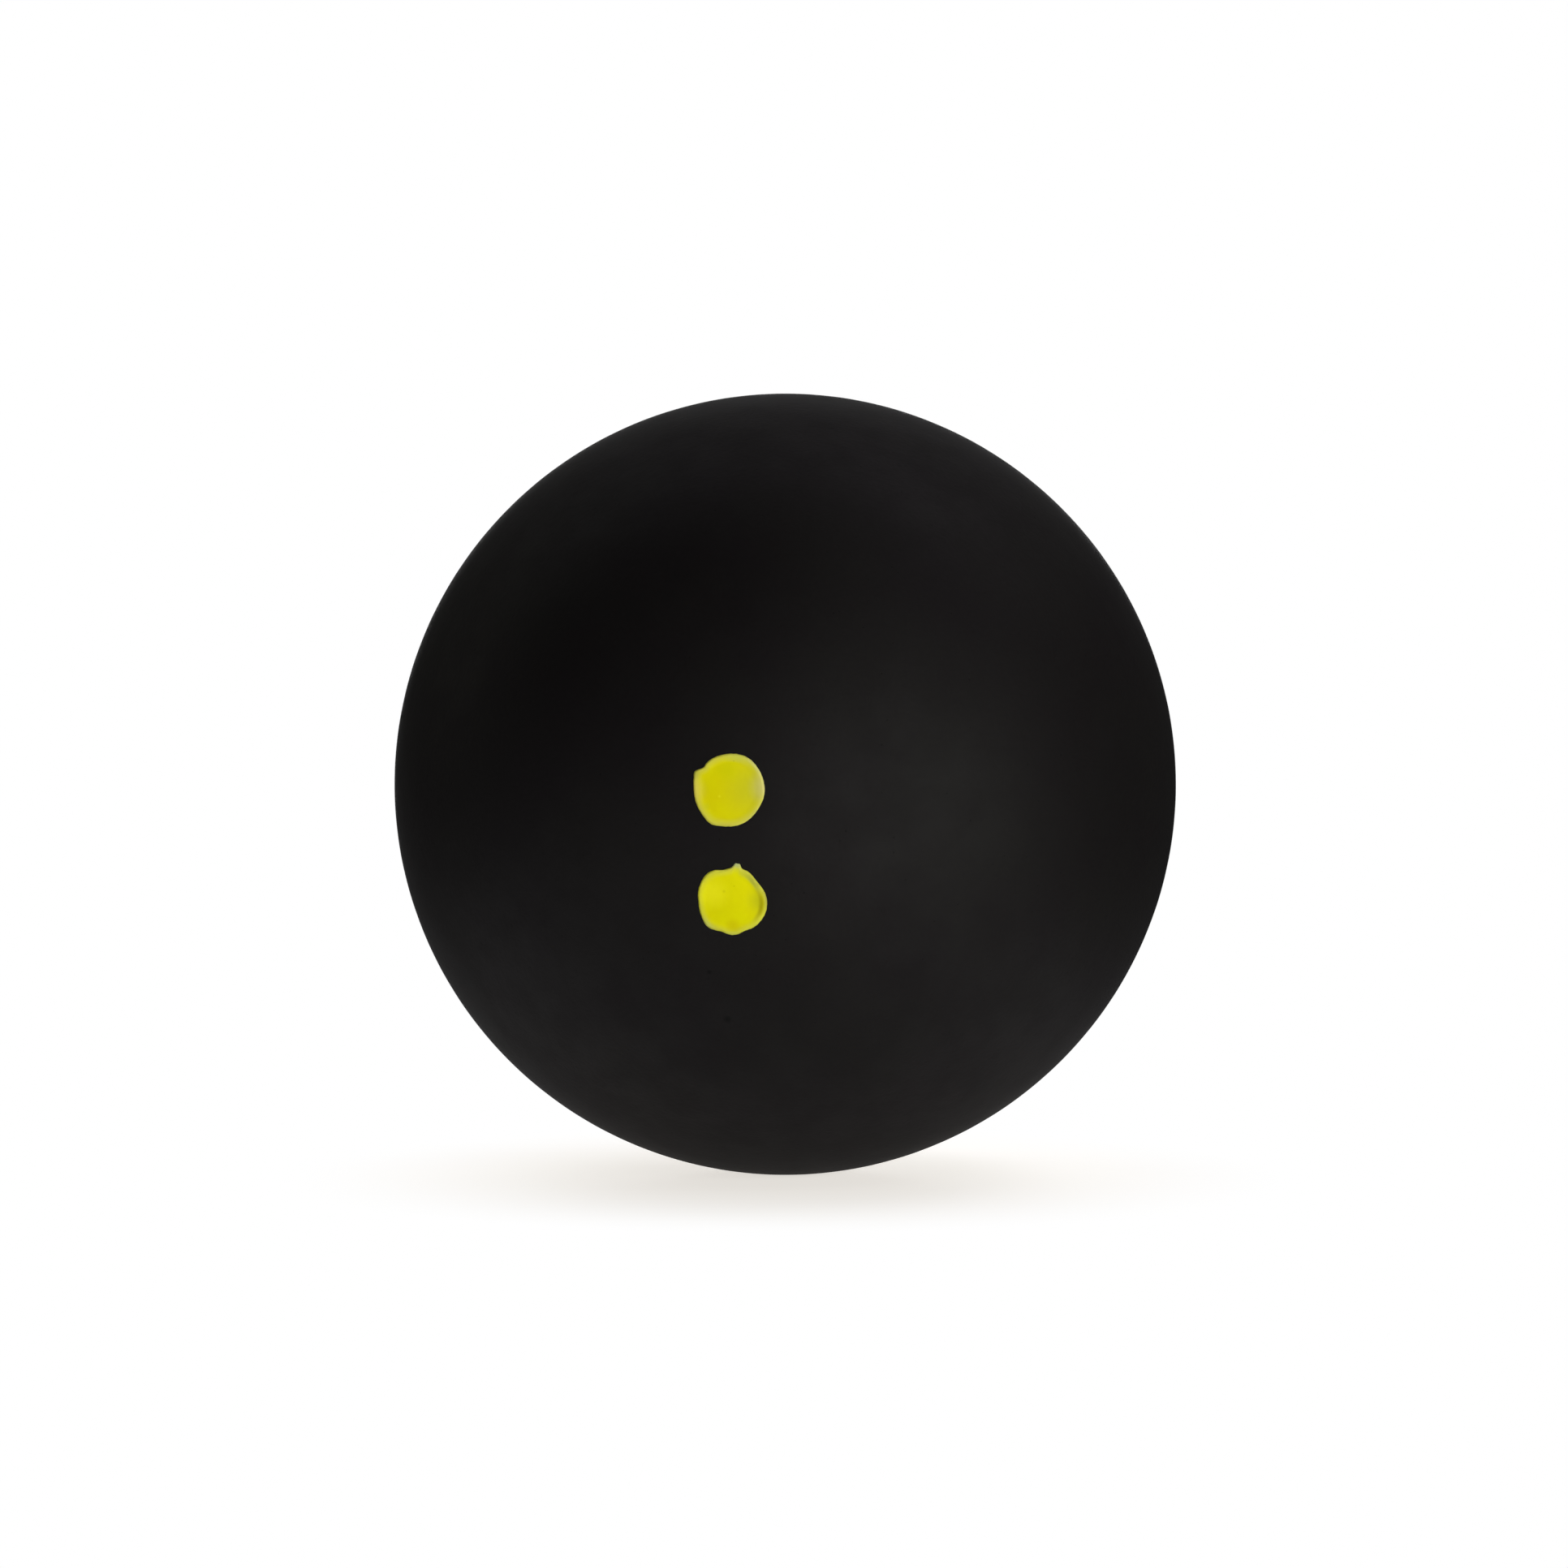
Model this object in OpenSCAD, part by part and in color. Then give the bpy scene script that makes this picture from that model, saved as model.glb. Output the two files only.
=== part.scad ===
// Squash ball of the slowest grade, with two yellow dots.
// Two moulded rubber half shells are bonded rim to rim round a sealed pocket of air.
// The origin is the ball's centre, +Z is up and the printed dots face -Y.
// The seam lies in the XZ plane, so both half shells are revolved about the Y axis.

/* [Ball] */
// Outside diameter of the finished ball
ball_d = 40; // [30:0.1:60]
// Thickness of the rubber wall
wall_t = 5.2; // [3:0.1:8]

/* [Seam] */
// Thickness of the cured rubber-solution film between the two rims
film_t = 0.16; // [0.08:0.02:0.4]
// Width of the edge that the rim's outer corner loses when the seam is ground
rim_break = 0.14; // [0.06:0.02:0.4]
// How far the cured film lies below the ball's surface in that groove
film_recess = 0.05; // [0.02:0.01:0.1]
// Width of the bevel round the rim's inner corner
inner_bevel = 0.5; // [0.2:0.1:1.2]
// Width of the bead of solution that was squeezed out inside the ball
bead_w = 2.2; // [1.6:0.1:4]
// Height of that bead above the inside wall
bead_h = 0.4; // [0.2:0.1:1]

/* [Dots] */
// Diameter of the upper dot
upper_dot_d = 3.34; // [2:0.02:5]
// Diameter of the lower dot
lower_dot_d = 3.26; // [2:0.02:5]
// Distance between the dots' centres, measured along the ball's surface
dot_pitch = 5.2; // [5.1:0.1:9]
// How far the pair of dots is turned to the left of the ball's front, in degrees
dots_turn = 7.5; // [-40:0.5:40]
// How far the upper dot's centre lies below the ball's front, in degrees
upper_dot_drop = 0.8; // [-30:0.1:30]
// Thickness of the dried ink
ink_t = 0.06; // [0.03:0.01:0.2]
// Width of the fat edge that the printing pad leaves round each dot
ink_rim_w = 0.3; // [0.1:0.05:0.6]
// How far that fat edge stands above the rest of the dot
ink_rim_rise = 0.03; // [0.01:0.01:0.1]

/* [Hidden] */
$fn = 120;

ball_r = ball_d / 2;
cavity_r = ball_r - wall_t;
// Distance from the seam's middle plane to each rim
rim_y = film_t / 2;
// How far the cutting shapes run past what they cut
overrun = 1;

// Points on a dot's outline
dot_points = 120;
// Lobes, flats and spurs of a dot's ragged edge: direction in degrees, anticlockwise from the right,
// half width in degrees, and height as a share of the dot's radius
upper_lobe_shares = [
    [62, 26, 0.045],
    [139, 10, -0.05],
    [151, 8, 0.1],
    [164, 9, 0.03],
    [190, 22, -0.02],
    [241, 15, 0.06],
    [325, 24, -0.035]
];
lower_lobe_shares = [
    [35, 16, -0.045],
    [60, 10, 0.015],
    [75.5, 4.5, 0.09],
    [82, 4.5, 0.09],
    [101, 11, -0.06],
    [130, 16, 0.045],
    [184, 20, -0.05],
    [226, 12, 0.06],
    [250, 7, -0.03],
    [272, 11, 0.02],
    [293, 10, -0.04],
    [346, 26, 0.035]
];

// Section of one half shell: x is the distance from the seam's axis, y that from its middle plane
module half_shell_section() {
    difference() {
        circle(r = ball_r);
        circle(r = cavity_r);
        translate([-ball_r - overrun, -ball_r - overrun])
            square([ball_r + overrun, 2 * (ball_r + overrun)]);
        translate([-overrun, -ball_r - overrun])
            square([ball_r + 2 * overrun, ball_r + overrun + rim_y]);
        rim_corner(ball_r, rim_break);
        rim_corner(cavity_r, inner_bevel);
    }
}

// Square on its corner that cuts a rim's corner at the radius r, and leaves a bevel of the width w there
module rim_corner(r, w) {
    corner_x = sqrt(r * r - rim_y * rim_y);
    polygon([
        [corner_x - w, rim_y],
        [corner_x, rim_y - w],
        [corner_x + w, rim_y],
        [corner_x, rim_y + w]
    ]);
}

// Both half shells' sections together, as the solution between their rims sees them
module shell_sections() {
    half_shell_section();
    mirror([0, 1])
        half_shell_section();
}

// Turns a section about the seam's axis: the section's y becomes the distance along Y from the seam
module turn_about_seam_axis() {
    rotate([-90, 0, 0])
        rotate_extrude()
            children();
}

// The rubber cup that carries the dots
module front_half_shell() {
    color([0.09, 0.085, 0.085])
        mirror([0, 1, 0])
            turn_about_seam_axis()
                half_shell_section();
}

// The rubber cup behind it
module rear_half_shell() {
    color([0.09, 0.085, 0.085])
        turn_about_seam_axis()
            half_shell_section();
}

// Section of the solution: the film between the rims, its edge in the outer groove, and the bead inside
module seam_section() {
    difference() {
        intersection() {
            circle(r = ball_r - film_recess);
            union() {
                film_band();
                bead_round();
            }
        }
        shell_sections();
    }
}

// Band between the rims, as wide as the groove in the ball's surface
module film_band() {
    groove_half_w = rim_y + rim_break;
    translate([cavity_r, -groove_half_w])
        square([wall_t, 2 * groove_half_w]);
}

// Circle that bulges bead_h into the air inside and meets the inside wall at two points bead_w apart
module bead_round() {
    crest_r = cavity_r - bead_h;
    wall_x = sqrt(cavity_r * cavity_r - bead_w * bead_w / 4);
    round_x = (cavity_r * cavity_r - crest_r * crest_r) / (2 * (wall_x - crest_r));
    translate([round_x, 0])
        circle(r = round_x - crest_r);
}

// The cured film of rubber solution that bonds the half shells
module seam_adhesive() {
    color([0.16, 0.13, 0.1])
        turn_about_seam_axis()
            seam_section();
}

// Signed difference between two directions, from -180 to 180 degrees
function turn_between(a, b) = (a - b + 540) % 360 - 180;

// Height of all lobes in one direction, as a share of the dot's radius
function lobe_share(direction, lobe_shares, i = 0) =
    i == len(lobe_shares) ? 0
    : lobe_shares[i][2] * exp(-pow(turn_between(direction, lobe_shares[i][0]) / lobe_shares[i][1], 2))
        + lobe_share(direction, lobe_shares, i + 1);

// Ragged outline of a dot, drawn in by the distance inset
module dot_outline(dot_r, lobe_shares, inset = 0) {
    polygon([
        for (i = [0 : dot_points - 1])
            let (direction = i * 360 / dot_points,
                 edge_r = dot_r * (1 + lobe_share(direction, lobe_shares)) - inset)
            [edge_r * cos(direction), edge_r * sin(direction)]
    ]);
}

// Layer on the ball's front, height thick, that lies under the outline of the child
module ink_layer(height) {
    intersection() {
        difference() {
            sphere(r = ball_r + height);
            sphere(r = ball_r);
        }
        rotate([90, 0, 0])
            linear_extrude(ball_r + height + overrun)
                children();
    }
}

// One printed dot at the ball's front: the flat of the ink, and the fat edge round it
module printed_dot(dot_d, lobe_shares) {
    union() {
        ink_layer(ink_t)
            dot_outline(dot_d / 2, lobe_shares);
        ink_layer(ink_t + ink_rim_rise)
            difference() {
                dot_outline(dot_d / 2, lobe_shares);
                dot_outline(dot_d / 2, lobe_shares, ink_rim_w);
            }
    }
}

// Carries a dot from the ball's front to its place, drop degrees below the front
module at_dot(drop) {
    rotate([0, 0, -dots_turn])
        rotate([drop, 0, 0])
            children();
}

module upper_dot() {
    color([0.8, 0.77, 0.06])
        at_dot(upper_dot_drop)
            printed_dot(upper_dot_d, upper_lobe_shares);
}

module lower_dot() {
    color([0.82, 0.8, 0.06])
        at_dot(upper_dot_drop + dot_pitch / ball_r * 180 / PI)
            printed_dot(lower_dot_d, lower_lobe_shares);
}

front_half_shell();
rear_half_shell();
seam_adhesive();
upper_dot();
lower_dot();
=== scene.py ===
"""Squash ball with two yellow dots: the looks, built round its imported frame.

Lengths are in metres. The ball's centre is the origin, +Z is up, the dots face -Y and the seam
between the two half shells lies in the plane y = 0.
"""

import logging
import math
from dataclasses import dataclass
from enum import Enum
from functools import cache, cached_property

import bmesh
import bpy
from bmesh.types import BMEdge, BMesh, BMLayerItem, BMVert
from bpy.types import ID, Material, Node, NodeSocket, NodeTree, Object, World
from mathutils import Matrix, Vector, noise


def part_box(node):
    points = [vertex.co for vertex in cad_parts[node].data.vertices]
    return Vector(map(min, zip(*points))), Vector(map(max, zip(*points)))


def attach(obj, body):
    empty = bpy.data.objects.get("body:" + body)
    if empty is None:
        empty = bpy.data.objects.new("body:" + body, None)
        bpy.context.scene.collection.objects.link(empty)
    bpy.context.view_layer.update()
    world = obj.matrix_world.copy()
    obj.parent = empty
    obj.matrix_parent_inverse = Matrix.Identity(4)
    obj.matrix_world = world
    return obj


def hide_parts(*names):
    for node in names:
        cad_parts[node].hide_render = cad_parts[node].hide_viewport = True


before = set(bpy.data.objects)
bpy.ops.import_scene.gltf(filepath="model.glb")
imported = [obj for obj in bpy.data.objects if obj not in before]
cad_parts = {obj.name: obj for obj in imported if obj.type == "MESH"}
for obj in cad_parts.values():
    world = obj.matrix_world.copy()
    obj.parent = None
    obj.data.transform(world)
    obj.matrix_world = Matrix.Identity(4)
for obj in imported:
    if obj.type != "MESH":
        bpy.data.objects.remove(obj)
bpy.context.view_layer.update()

LOG = logging.getLogger("squash_ball")
# Name of the attribute that says how far out across a dot each of its vertices lies
EDGE_SHARE = "edge_share"
MM = 0.001
WHITE = (1.0, 1.0, 1.0)

Colour = tuple[float, float, float]
Feed = NodeSocket | float | tuple[float, ...]


def sphere_reach(radius: float, y: float) -> float:
    """Gives how far from the Y axis a sphere about the origin reaches at y."""
    return math.sqrt(radius**2 - y**2)


@dataclass(frozen=True)
class BallSizes:
    """Sizes of the ball that several pieces share.

    Attributes:
        ball_r: Outside radius of the ball.
        rim_y: Distance from the seam's middle plane to the rim of each half shell.
        bead_half_w: Half the width of the bead of rubber solution inside the ball.
        wall_t: Thickness of the rubber wall.
        rim_break: Width of the edge that the rim's outer corner loses in grinding.
        film_recess: How far the film lies below the ball's surface in the groove.
        inner_bevel: Width of the bevel round the rim's inner corner.
        bead_h: Height of the bead above the inside wall.
    """

    ball_r: float
    rim_y: float
    bead_half_w: float
    wall_t: float = 5.2 * MM
    rim_break: float = 0.14 * MM
    film_recess: float = 0.05 * MM
    inner_bevel: float = 0.5 * MM
    bead_h: float = 0.4 * MM

    @classmethod
    def from_frame(cls) -> "BallSizes":
        """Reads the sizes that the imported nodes' boxes give.

        Returns:
            The ball's sizes.
        """
        rear_low, rear_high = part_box("rear_half_shell")
        film_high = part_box("seam_adhesive")[1]
        return cls(ball_r=rear_high.y, rim_y=rear_low.y, bead_half_w=film_high.y)

    @property
    def cavity_r(self) -> float:
        """Radius of the inside wall."""
        return self.ball_r - self.wall_t

    @property
    def outer_rim_r(self) -> float:
        """Distance from the seam's axis at which the outside meets the rim's plane."""
        return sphere_reach(self.ball_r, self.rim_y)

    @property
    def inner_rim_r(self) -> float:
        """Distance from the seam's axis at which the inside wall meets the rim's plane."""
        return sphere_reach(self.cavity_r, self.rim_y)


class Half(Enum):
    """The two half shells: node name, and the side of the seam on which each lies."""

    FRONT = ("front_half_shell", -1)
    REAR = ("rear_half_shell", 1)

    @property
    def node(self) -> str:
        """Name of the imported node."""
        return self.value[0]

    @property
    def side(self) -> int:
        """-1 in front of the seam, 1 behind it."""
        return self.value[1]


def smooth_step(low: float, high: float, value: float) -> float:
    """Rises smoothly from 0 at low to 1 at high.

    Args:
        low: Value at which the rise starts.
        high: Value at which it ends.
        value: Value to place on the rise.

    Returns:
        The height of the rise, from 0 to 1.
    """
    share = min(max((value - low) / (high - low), 0.0), 1.0)
    return share * share * (3.0 - 2.0 * share)


def layered_noise(place: Vector) -> float:
    """Gives noise of three octaves, each twice as fine as the one before and a little over half as high."""
    return noise.fractal(place, 0.8, 2.0, 3)


def heading(turn: float, rise: float) -> Vector:
    """Gives a direction from the ball's centre.

    Args:
        turn: Degrees to the right of the ball's front.
        rise: Degrees above it.

    Returns:
        The direction, one unit long.
    """
    turn, rise = math.radians(turn), math.radians(rise)
    level = math.cos(rise)
    return Vector((math.sin(turn) * level, -math.cos(turn) * level, math.sin(rise)))


def across_axis(place: Vector) -> Vector:
    """Gives the part of a place that lies across the Y axis, which is the seam's own."""
    return Vector((place.x, 0.0, place.z))


def new_ring(mesh: BMesh, ring: list[BMEdge]) -> tuple[list[BMEdge], list[BMVert]]:
    """Extrudes a ring or a row of edges on the spot.

    Args:
        mesh: Mesh that holds the ring.
        ring: Edges of the ring.

    Returns:
        The new ring's edges and its vertices, which still lie on the old ones.
    """
    made = bmesh.ops.extrude_edge_only(mesh, edges=ring)["geom"]
    verts = [item for item in made if isinstance(item, BMVert)]
    fresh = set(verts)
    edges = [item for item in made if isinstance(item, BMEdge) and fresh.issuperset(item.verts)]
    return edges, verts


def put_round_seam_axis(verts: list[BMVert], radius: float, y: float) -> None:
    """Moves vertices to one distance from the Y axis, each in its own direction, and to one y.

    Args:
        verts: Vertices to move.
        radius: Their new distance from the axis.
        y: Their new place along it.
    """
    for vert in verts:
        vert.co = across_axis(vert.co).normalized() * radius + Vector((0.0, y, 0.0))


def finish_faces(mesh: BMesh, sharp_turn: float = 360.0) -> None:
    """Turns every face of a closed mesh outwards and shades it smooth.

    Args:
        mesh: The closed mesh.
        sharp_turn: Edges that turn by this many degrees or more are shaded sharp.
    """
    bmesh.ops.recalc_face_normals(mesh, faces=mesh.faces)
    if mesh.calc_volume(signed=True) < 0.0:
        bmesh.ops.reverse_faces(mesh, faces=mesh.faces)
    for face in mesh.faces:
        face.smooth = True
    for edge in mesh.edges:
        edge.smooth = edge.calc_face_angle(0.0) < math.radians(sharp_turn)


def new_object(name: str, data: ID) -> Object:
    """Puts an object in the scene.

    Args:
        name: Name of the object.
        data: Its mesh, lamp or camera.

    Returns:
        The object, at the origin.
    """
    made = bpy.data.objects.new(name, data)
    bpy.context.scene.collection.objects.link(made)
    return made


def new_mesh_object(mesh: BMesh, name: str, materials: list[Material]) -> Object:
    """Puts a finished mesh in the scene.

    Args:
        mesh: Mesh in place. It is freed here.
        name: Name of the object.
        materials: Its materials, in the order of the faces' material numbers.

    Returns:
        The object, at the origin.
    """
    data = bpy.data.meshes.new(name)
    mesh.to_mesh(data)
    mesh.free()
    for material in materials:
        data.materials.append(material)
    return new_object(name, data)


def finish_piece(mesh: BMesh, name: str, materials: list[Material], node: str) -> None:
    """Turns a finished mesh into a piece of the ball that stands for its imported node.

    Args:
        mesh: Mesh in place, in the ball's frame. It is freed here.
        name: Name of the piece.
        materials: Its materials, in the order of the faces' material numbers.
        node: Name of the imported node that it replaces.
    """
    piece = new_mesh_object(mesh, name, materials)
    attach(piece, "root")
    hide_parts(node)
    LOG.info("%s: %d faces, stands for %s", name, len(piece.data.polygons), node)


def fresh_tree(owner: Material | World) -> NodeTree:
    """Switches on the nodes of a material or a world and clears them.

    Args:
        owner: The material or world.

    Returns:
        Its empty node tree.
    """
    owner.use_nodes = True
    owner.node_tree.nodes.clear()
    return owner.node_tree


class NodeSketch:
    """A node tree that is being drawn: adds nodes, fills their sockets and joins them."""

    # Numbers of the Mix node's two colour inputs and of its colour output, whose names aren't theirs alone
    MIX_COLOURS = (6, 7)
    MIX_RESULT = 2

    def __init__(self, tree: NodeTree) -> None:
        """Starts on a tree, which keeps what it already holds."""
        self.tree = tree

    def add(self, kind: str, feeds: dict[str | int, Feed] | None = None, **settings: object) -> Node:
        """Adds a node.

        Args:
            kind: Blender's name for the node's type.
            feeds: What goes into its sockets, by socket name or number.
            **settings: Its other properties.

        Returns:
            The node.
        """
        node = self.tree.nodes.new(kind)
        for name, value in settings.items():
            setattr(node, name, value)
        for key, value in (feeds or {}).items():
            self.feed(node.inputs[key], value)
        return node

    def feed(self, socket: NodeSocket, value: Feed) -> None:
        """Fills a socket.

        Args:
            socket: The socket.
            value: Socket that is linked to it, or its new value.
        """
        if isinstance(value, NodeSocket):
            self.tree.links.new(value, socket)
        else:
            socket.default_value = value

    def result(self, kind: str, feeds: dict[str | int, Feed], **settings: object) -> NodeSocket:
        """Adds a node and gives its first output."""
        return self.add(kind, feeds, **settings).outputs[0]

    def math(self, operation: str, *values: Feed) -> NodeSocket:
        """Adds a Math node and gives its result."""
        return self.result("ShaderNodeMath", dict(enumerate(values)), operation=operation)

    def vector_math(self, operation: str, *values: Feed) -> Node:
        """Adds a Vector Math node and gives the node."""
        return self.add("ShaderNodeVectorMath", dict(enumerate(values)), operation=operation)

    def remap(self, value: Feed, low: Feed, high: Feed, to_low: Feed, to_high: Feed) -> NodeSocket:
        """Adds a smooth Map Range node.

        Args:
            value: Value to map.
            low: Value that becomes to_low.
            high: Value that becomes to_high.
            to_low: Result at low.
            to_high: Result at high.

        Returns:
            The mapped value.
        """
        feeds = {"Value": value, "From Min": low, "From Max": high, "To Min": to_low, "To Max": to_high}
        return self.result("ShaderNodeMapRange", feeds, interpolation_type="SMOOTHSTEP")

    def mix_colour(self, share: Feed, first: Feed, second: Feed) -> NodeSocket:
        """Mixes two colours.

        Args:
            share: Share of the second colour.
            first: First colour, as a socket or an RGB triple.
            second: Second colour, likewise.

        Returns:
            The mixed colour.
        """
        node = self.add("ShaderNodeMix", {0: share}, data_type="RGBA")
        for number, colour in zip(self.MIX_COLOURS, (first, second)):
            self.feed(node.inputs[number], colour if isinstance(colour, NodeSocket) else (*colour, 1.0))
        return node.outputs[self.MIX_RESULT]


class Effect(Enum):
    """Surface effects that the finishes share: group name, inputs besides the place, and output."""

    GRAIN = ("fine_grain", ("scale", "pebble"), "height")
    MOTTLE = ("mottle", ("scale", "low", "high"), "value")
    SPECKS = ("specks", ("scale", "radius", "share"), "mask")
    STREAKS = ("grinding_streaks", ("along", "across"), "height")
    SPOT = ("spot", ("x", "y", "z", "radius"), "mask")
    SEAM = ("nearness_to_seam", ("half_w",), "mask")


class SocketKind(Enum):
    """Kinds of socket that an effect takes or gives."""

    VALUE = "NodeSocketFloat"
    VECTOR = "NodeSocketVector"


class EffectSketch(NodeSketch):
    """The node group of one effect, which gives a mask or a value and holds no shader."""

    def __init__(self, effect: Effect) -> None:
        """Makes the group with its sockets and draws the effect in it.

        Args:
            effect: The effect.
        """
        name, values, result = effect.value
        super().__init__(bpy.data.node_groups.new(name, "ShaderNodeTree"))
        self._socket("place", "INPUT", SocketKind.VECTOR)
        for value in values:
            self._socket(value, "INPUT", SocketKind.VALUE)
        self._socket(result, "OUTPUT", SocketKind.VALUE)
        self.taken = self.add("NodeGroupInput").outputs
        draw = {
            Effect.GRAIN: self._grain,
            Effect.MOTTLE: self._mottle,
            Effect.SPECKS: self._specks,
            Effect.STREAKS: self._streaks,
            Effect.SPOT: self._spot,
            Effect.SEAM: self._seam,
        }[effect]
        self.add("NodeGroupOutput", {result: draw()})

    def _socket(self, name: str, side: str, kind: SocketKind) -> None:
        """Gives the group a socket, which is an INPUT or an OUTPUT."""
        self.tree.interface.new_socket(name=name, in_out=side, socket_type=kind.value)

    def _pattern(self, **settings: float) -> dict[str | int, Feed]:
        """Gives what a texture node takes to lie at the effect's place and scale."""
        return {"Vector": self.taken["place"], "Scale": self.taken["scale"], **settings}

    def _grain(self) -> NodeSocket:
        """Draws the fine relief of a ground or moulded surface.

        Returns:
            Its height: noise, or rounded pebbles as pebble nears 1.
        """
        ground = self.result("ShaderNodeTexNoise", self._pattern(Detail=2.0, Roughness=0.62))
        cells = self.add("ShaderNodeTexVoronoi", self._pattern())
        pebbles = self.math("SUBTRACT", 1.0, cells.outputs["Distance"])
        return self.result("ShaderNodeMix", {0: self.taken["pebble"], 2: ground, 3: pebbles})

    def _mottle(self) -> NodeSocket:
        """Draws a slow change over the surface, from low to high.

        Returns:
            Its value.
        """
        clouds = self.result("ShaderNodeTexNoise", self._pattern(Detail=4.0, Roughness=0.55))
        return self.remap(clouds, 0.3, 0.7, self.taken["low"], self.taken["high"])

    def _specks(self) -> NodeSocket:
        """Scatters soft round specks.

        Returns:
            Their mask: share of the cells have one, of this radius as a share of a cell.
        """
        cells = self.add("ShaderNodeTexVoronoi", self._pattern())
        chosen = self.result("ShaderNodeSeparateColor", {"Color": cells.outputs["Color"]})
        kept = self.math("LESS_THAN", chosen, self.taken["share"])
        full_r = self.math("MULTIPLY", self.taken["radius"], 0.55)
        near = self.remap(cells.outputs["Distance"], full_r, self.taken["radius"], 1.0, 0.0)
        return self.math("MULTIPLY", near, kept)

    def _streaks(self) -> NodeSocket:
        """Draws fine grooves that run round the Y axis.

        Returns:
            Their height: along is their scale along the seam, and across that across it.
        """
        along, across = self.taken["along"], self.taken["across"]
        stretch = self.result("ShaderNodeCombineXYZ", {0: along, 1: across, 2: along})
        drawn = self.vector_math("MULTIPLY", self.taken["place"], stretch).outputs[0]
        return self.result("ShaderNodeTexNoise", {"Vector": drawn, "Scale": 1.0, "Detail": 2.0})

    def _spot(self) -> NodeSocket:
        """Draws one soft round spot about a point.

        Returns:
            Its mask.
        """
        parts = {number: self.taken[axis] for number, axis in enumerate("xyz")}
        centre = self.result("ShaderNodeCombineXYZ", parts)
        away = self.vector_math("DISTANCE", self.taken["place"], centre).outputs["Value"]
        return self.remap(away, 0.0, self.taken["radius"], 1.0, 0.0)

    def _seam(self) -> NodeSocket:
        """Marks the seam's middle plane, and fades to nothing at half_w from it.

        Returns:
            The mark's mask.
        """
        y = self.add("ShaderNodeSeparateXYZ", {0: self.taken["place"]}).outputs["Y"]
        return self.remap(self.math("ABSOLUTE", y), 0.0, self.taken["half_w"], 1.0, 0.0)


@cache
def effect_group(effect: Effect) -> NodeTree:
    """Gives an effect's node group, which is built the first time that a finish asks for it."""
    return EffectSketch(effect).tree


class MaterialSketch(NodeSketch):
    """A material that is being drawn, with the shared effects at hand."""

    def __init__(self, name: str) -> None:
        """Starts an empty material."""
        self.material = bpy.data.materials.new(name)
        super().__init__(fresh_tree(self.material))

    @cached_property
    def place(self) -> NodeSocket:
        """Object coordinates of the shaded point."""
        return self.add("ShaderNodeTexCoord").outputs["Object"]

    def lay(self, effect: Effect, **values: float) -> NodeSocket:
        """Lays an effect on the surface and gives its mask or value."""
        return self.result("ShaderNodeGroup", {"place": self.place, **values}, node_tree=effect_group(effect))

    def dull_at_grazing(self, roughness: Feed) -> NodeSocket:
        """Makes a roughness rise towards the outline, where rough grain hides itself.

        Args:
            roughness: Roughness of the surface seen straight on.

        Returns:
            The roughness seen from anywhere.
        """
        starts, ends, most = 0.3, 0.85, 0.6
        facing = self.add("ShaderNodeLayerWeight", {"Blend": 0.5}).outputs["Facing"]
        grazing = self.remap(facing, starts, ends, 0.0, most)
        return self.math("MULTIPLY_ADD", grazing, self.math("SUBTRACT", 1.0, roughness), roughness)

    def dress(self, colour: Feed, roughness: Feed, gloss: float, relief: Feed, depth: float) -> Material:
        """Ends the material as a solid surface with a fine relief.

        Args:
            colour: Its colour.
            roughness: Its roughness.
            gloss: Its specular level, the same all over.
            relief: Height of its fine relief, from 0 to 1.
            depth: Height that 1 stands for.

        Returns:
            The material.
        """
        normal = self.result("ShaderNodeBump", {"Height": relief, "Distance": depth})
        feeds = {"Base Color": colour, "Roughness": roughness, "Specular IOR Level": gloss, "Normal": normal}
        return self.shade(self.result("ShaderNodeBsdfPrincipled", feeds))

    def shade(self, shader: NodeSocket) -> Material:
        """Ends the material with a shader and gives it."""
        self.add("ShaderNodeOutputMaterial", {"Surface": shader})
        return self.material


@dataclass(frozen=True)
class SurfaceSpot:
    """A small round mark at a place on the ball.

    Attributes:
        turn: Direction of its place, in degrees to the right of the ball's front.
        rise: Its height above the ball's front, in degrees.
        radius: Its radius.
    """

    turn: float
    rise: float
    radius: float

    def mask(self, surface: MaterialSketch, ball_r: float) -> NodeSocket:
        """Gives a mask that is 1 in the mark's middle and fades to 0 at its radius."""
        x, y, z = ball_r * heading(self.turn, self.rise)
        return surface.lay(Effect.SPOT, x=x, y=y, z=z, radius=self.radius)


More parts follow.
